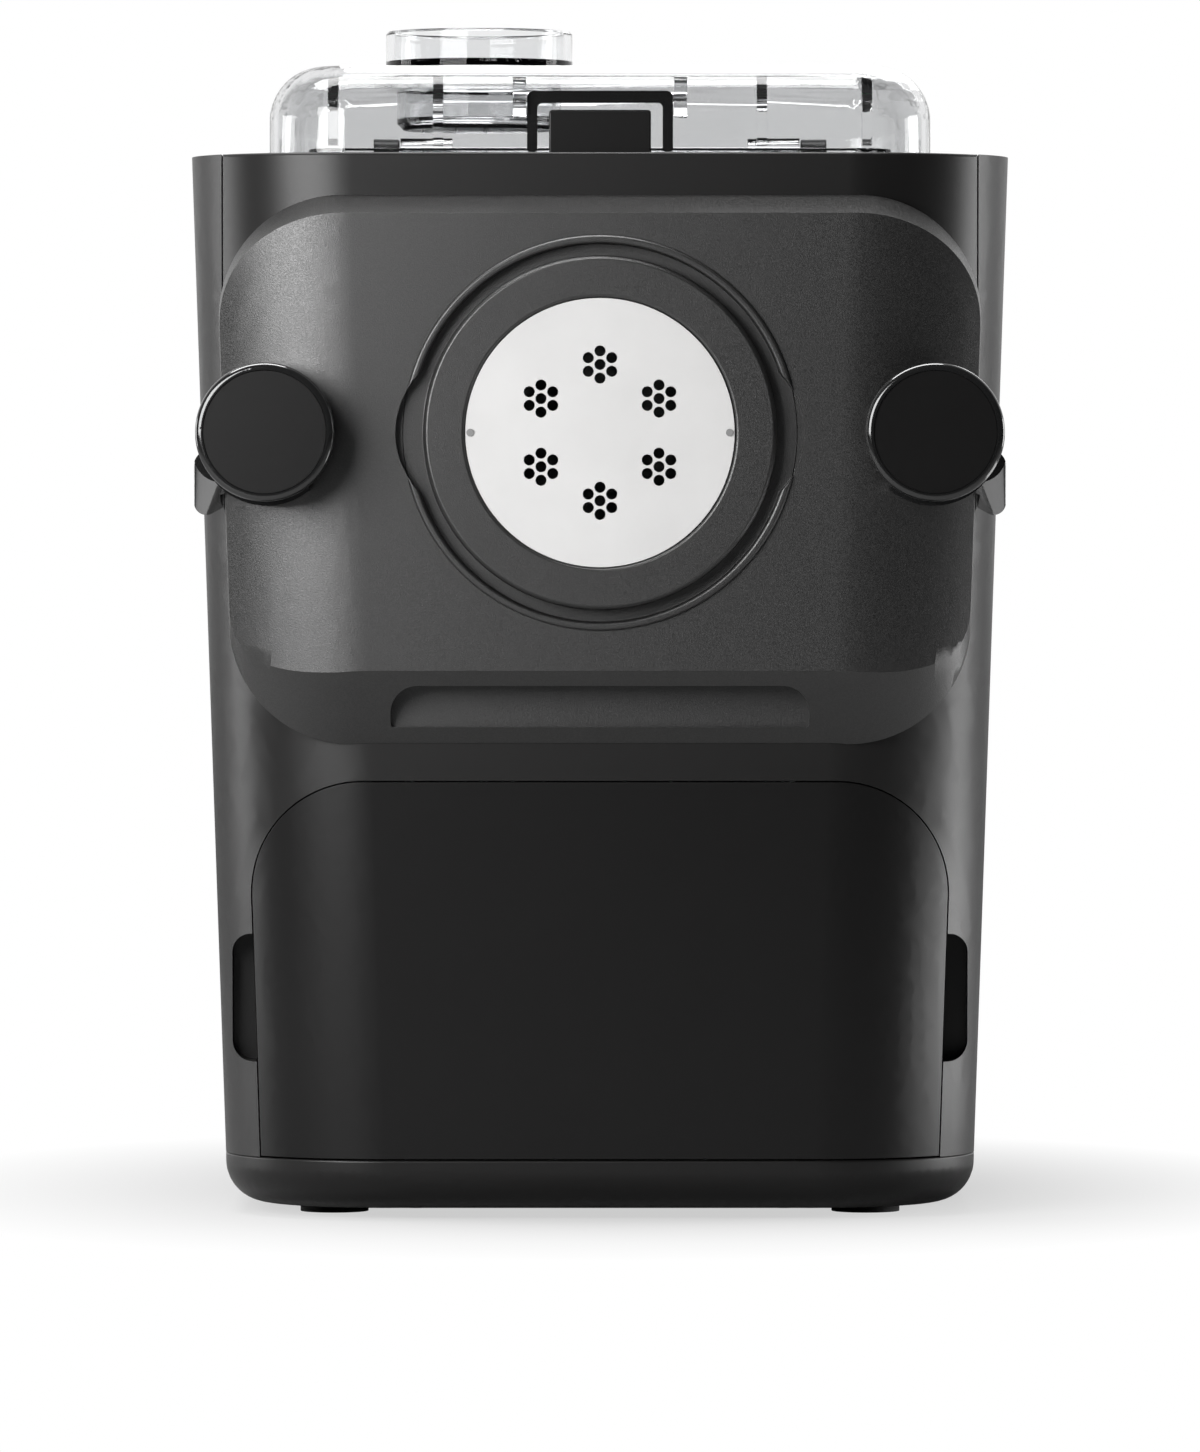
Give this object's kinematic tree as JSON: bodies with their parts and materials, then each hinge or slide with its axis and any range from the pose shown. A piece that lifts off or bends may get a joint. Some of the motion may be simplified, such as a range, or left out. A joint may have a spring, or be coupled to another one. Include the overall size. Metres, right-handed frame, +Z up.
{
  "type": "electric pasta maker",
  "caption": "Free-standing electric pasta maker with a kneading chamber under a clear lid, a lift-off extruder front with clamps and knobs, a storage drawer and a geared motor.",
  "frame": {"origin": "middle of the footprint on the surface that the machine stands on", "axes": "+X to the machine's right as seen from its front, -Y out of its front, +Z up"},
  "size_m": [0.24, 0.38, 0.3495],
  "materials": {
    "body_satin": "satin, fine grain",
    "drawer_satin": "satin",
    "panel_graphite": "fine sparkle grain",
    "gloss_black": "polished",
    "clear": "clear",
    "smoked": "tinted clear",
    "white_plastic": "fine satin",
    "grey_plastic": "fine grain",
    "rubber": "matt",
    "silicone": "matt",
    "steel": "brushed",
    "sheet_steel": "zinc plated",
    "gear_nylon": "moulded",
    "bronze": "sintered",
    "board": "lacquered",
    "motor_paint": "satin"
  },
  "bodies": {
    "front_panel": {"front_panel": "panel_graphite", "nozzle_bezel": "panel_graphite", "pasta_disc": "white_plastic", "disc_pins": "grey_plastic", "extruder_barrel": "grey_plastic", "barrel_seal": "silicone", "right_clamp_pin": "steel", "left_clamp_pin": "steel"},
    "right_clamp": {"right_clamp": "gloss_black"},
    "left_clamp": {"left_clamp": "gloss_black"},
    "right_knob": {"right_knob": "gloss_black", "right_knob_cap": "drawer_satin"},
    "left_knob": {"left_knob": "gloss_black", "left_knob_cap": "drawer_satin"},
    "drawer": {"drawer_front": "drawer_satin", "drawer_tray": "drawer_satin"},
    "lid": {"lid": "clear"},
    "filling_cup": {"filling_cup": "clear"},
    "lid_latch": {"lid_latch": "gloss_black", "latch_pins": "steel"},
    "kneading_drive": {"output_gear": "gear_nylon", "drive_shaft": "steel", "kneading_rod": "grey_plastic", "extruder_screw": "grey_plastic"},
    "idler": {"idler_pinion": "steel", "idler_gear": "gear_nylon", "idler_spacer": "steel", "idler_shaft": "steel"},
    "motor_spindle": {"motor_pinion": "steel", "motor_shaft": "steel", "motor_rotor": "sheet_steel"},
    "program_button": {"program_button": "drawer_satin"},
    "start_button": {"start_button": "drawer_satin"},
    "power_button": {"power_button": "drawer_satin"},
    "casing": {"main_housing": "body_satin", "top_frame": "body_satin", "base_tray": "body_satin", "feet": "rubber", "base_screws": "steel", "drawer_runners": "grey_plastic", "rear_cover": "body_satin", "rear_cover_screws": "steel", "power_inlet": "gloss_black", "inlet_pins": "steel", "mixing_chamber": "smoked", "chamber_seal": "silicone", "lid_hinge_pin": "steel", "lid_hinge_brackets": "drawer_satin", "latch_catch": "drawer_satin", "gearbox_front_plate": "sheet_steel", "gearbox_rear_plate": "sheet_steel", "gear_bushes": "bronze", "gearbox_pillars": "steel", "motor_case": "motor_paint", "display_lens": "gloss_black", "button_switches": "grey_plastic", "control_panel": "gloss_black", "circuit_board": "board"}
  },
  "joints": [
    {"name": "panel_slide", "type": "slide", "parent": "casing", "child": "front_panel", "axis": [0, -1, 0], "range_m": [0, 0.075]},
    {"name": "right_clamp_swing", "type": "hinge", "parent": "front_panel", "child": "right_clamp", "pos_m": [0.07951, -0.1698, 0.228], "axis": [0, 0, -1], "range_deg": [0, 45]},
    {"name": "left_clamp_swing", "type": "hinge", "parent": "front_panel", "child": "left_clamp", "pos_m": [-0.07951, -0.1698, 0.228], "axis": [0, 0, 1], "range_deg": [0, 45]},
    {"name": "right_knob_turn", "type": "hinge", "parent": "right_clamp", "child": "right_knob", "pos_m": [0.09581, -0.18, 0.228], "axis": [0, -1, 0], "range_deg": [0, 90]},
    {"name": "left_knob_turn", "type": "hinge", "parent": "left_clamp", "child": "left_knob", "pos_m": [-0.09581, -0.18, 0.228], "axis": [0, 1, 0], "range_deg": [0, 90]},
    {"name": "drawer_slide", "type": "slide", "parent": "casing", "child": "drawer", "axis": [0, -1, 0], "range_m": [0, 0.13]},
    {"name": "lid_hinge", "type": "hinge", "parent": "casing", "child": "lid", "pos_m": [0, 0.054, 0.3159], "axis": [-1, 0, 0], "range_deg": [0, 85]},
    {"name": "cup_lift", "type": "slide", "parent": "lid", "child": "filling_cup", "axis": [0, 0, 1], "range_m": [0, 0.04]},
    {"name": "latch_swing", "type": "hinge", "parent": "lid", "child": "lid_latch", "pos_m": [0, -0.137, 0.32585], "axis": [-1, 0, 0], "range_deg": [0, 60]},
    {"name": "kneading_spin", "type": "hinge", "parent": "casing", "child": "kneading_drive", "pos_m": [0, 0, 0.228], "axis": [0, 1, 0], "continuous": true},
    {"name": "idler_spin", "type": "hinge", "parent": "casing", "child": "idler", "pos_m": [0, 0, 0.16938], "axis": [0, 1, 0], "continuous": true},
    {"name": "motor_spin", "type": "hinge", "parent": "casing", "child": "motor_spindle", "pos_m": [0, 0, 0.13326], "axis": [0, 1, 0], "continuous": true},
    {"name": "program_press", "type": "slide", "parent": "casing", "child": "program_button", "axis": [0, 0, -1], "range_m": [0, 0.0012], "stiffness_N_per_m": 400, "springref_m": -0.0004},
    {"name": "start_press", "type": "slide", "parent": "casing", "child": "start_button", "axis": [0, 0, -1], "range_m": [0, 0.0012], "stiffness_N_per_m": 400, "springref_m": -0.0004},
    {"name": "power_press", "type": "slide", "parent": "casing", "child": "power_button", "axis": [0, 0, -1], "range_m": [0, 0.0012], "stiffness_N_per_m": 400, "springref_m": -0.0004}
  ],
  "couplings": [
    {"joint": "idler_spin", "follows": "kneading_spin", "ratio": -3.3333},
    {"joint": "motor_spin", "follows": "kneading_spin", "ratio": 10}
  ]
}
